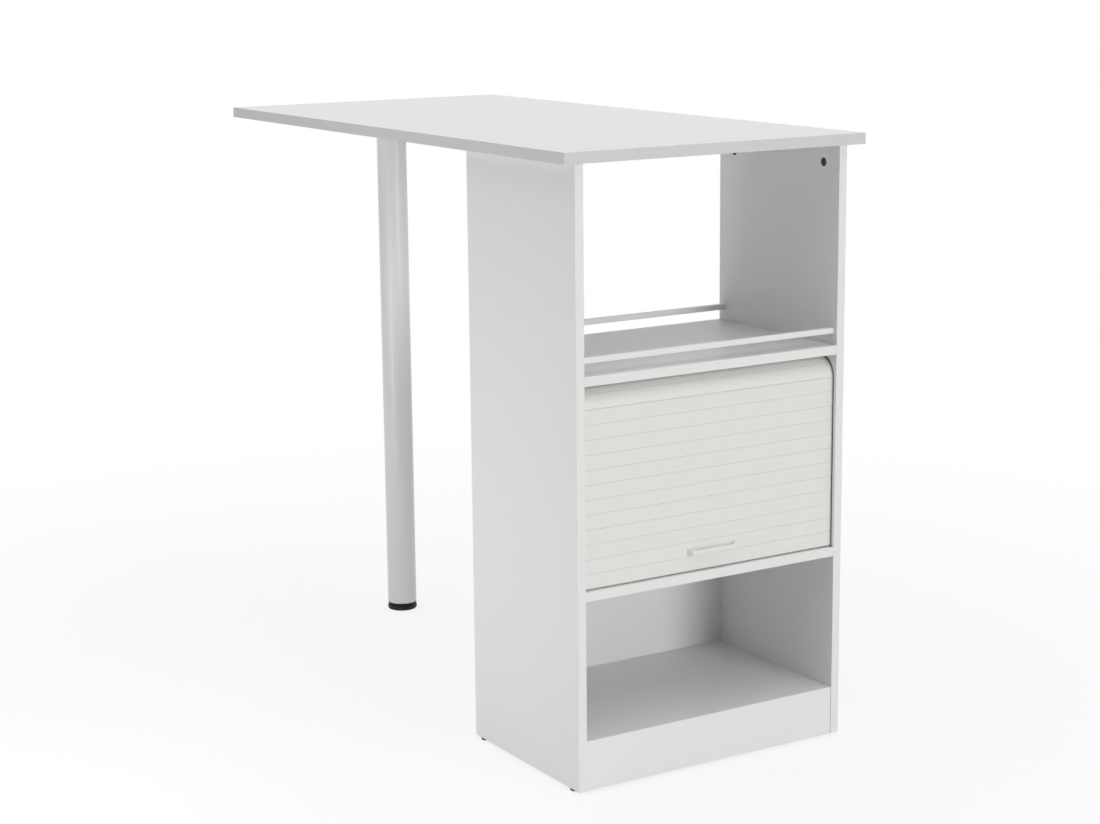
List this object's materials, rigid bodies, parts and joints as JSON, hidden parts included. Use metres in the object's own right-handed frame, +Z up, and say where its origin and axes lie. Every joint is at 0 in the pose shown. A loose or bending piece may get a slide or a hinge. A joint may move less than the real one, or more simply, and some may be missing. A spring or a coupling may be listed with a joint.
{
  "type": "kitchen table with storage cabinet",
  "caption": "Bar-height white kitchen table: a long top on a storage cabinet with an open bottle shelf, a slatted roller shutter and a lower bay, and on a round steel leg.",
  "frame": {"origin": "on the floor, below the middle of the table top", "axes": "+Z up; +Y from the cabinet's open front towards the leg end of the top; +X to the right, seen from the open front"},
  "size_m": [0.6, 1.246, 1.064],
  "materials": {
    "white_melamine": "white melamine-faced board, fine satin grain",
    "white_lacquer": "white satin lacquer",
    "shutter_plastic": "warm white extruded plastic, satin",
    "track_plastic": "dark grey extruded plastic",
    "leg_powder_coat": "white powder coat, semi-gloss",
    "zinc_plated_steel": "zinc plated",
    "cam_zinc": "dark die-cast zinc",
    "dowel_beech": "fluted beech",
    "black_plastic": "black moulded plastic"
  },
  "bodies": {
    "cabinet": {"table_top": "white_melamine", "side_panel_left": "white_melamine", "side_panel_right": "white_melamine", "upper_shelf": "white_melamine", "middle_shelf": "white_melamine", "floor_panel": "white_melamine", "plinth": "white_melamine", "back_panel": "white_melamine", "guard_rail_front": "white_lacquer", "guard_rail_rear": "white_lacquer", "shutter_slat_01": "shutter_plastic", "shutter_slat_02": "shutter_plastic", "shutter_slat_03": "shutter_plastic", "shutter_slat_04": "shutter_plastic", "shutter_slat_05": "shutter_plastic", "shutter_slat_06": "shutter_plastic", "shutter_slat_07": "shutter_plastic", "shutter_slat_08": "shutter_plastic", "shutter_slat_09": "shutter_plastic", "shutter_slat_10": "shutter_plastic", "shutter_bend_slat_1": "shutter_plastic", "shutter_bend_slat_2": "shutter_plastic", "shutter_track_left": "track_plastic", "shutter_track_right": "track_plastic", "leg_tube": "leg_powder_coat", "top_cam_bolts": "zinc_plated_steel", "shelf_cam_bolts": "zinc_plated_steel", "rail_pins": "zinc_plated_steel", "back_panel_screws": "zinc_plated_steel", "glide_nails": "zinc_plated_steel", "leg_plate": "zinc_plated_steel", "leg_plate_screws": "zinc_plated_steel", "leg_lock_screw": "zinc_plated_steel", "top_cam_locks": "cam_zinc", "shelf_cam_locks": "cam_zinc", "wooden_dowels": "dowel_beech", "cabinet_glides": "black_plastic", "leg_insert": "black_plastic"},
    "shutter": {"shutter_bottom_rail": "shutter_plastic", "shutter_handle_slat": "shutter_plastic", "shutter_handle": "shutter_plastic", "handle_screws": "zinc_plated_steel"},
    "shutter_tail": {"shutter_tail_slat": "shutter_plastic"},
    "leg_foot": {"foot_pad": "black_plastic", "foot_stem": "zinc_plated_steel"}
  },
  "joints": [
    {"name": "shutter_slide", "type": "slide", "parent": "cabinet", "child": "shutter", "axis": [0, 0, 1], "range_m": [0, 0.2486], "deforming": ["shutter_slat_01", "shutter_slat_02", "shutter_slat_03", "shutter_slat_04", "shutter_slat_05", "shutter_slat_06", "shutter_slat_07", "shutter_slat_08", "shutter_slat_09", "shutter_slat_10"]},
    {"name": "shutter_tail_slide", "type": "slide", "parent": "cabinet", "child": "shutter_tail", "axis": [0, 1, 0], "range_m": [0, 0.2486]},
    {"name": "leg_foot_screw", "type": "slide", "parent": "cabinet", "child": "leg_foot", "axis": [0, 0, -1], "range_m": [0, 0.015]}
  ],
  "couplings": [
    {"joint": "shutter_tail_slide", "follows": "shutter_slide", "ratio": 1}
  ]
}
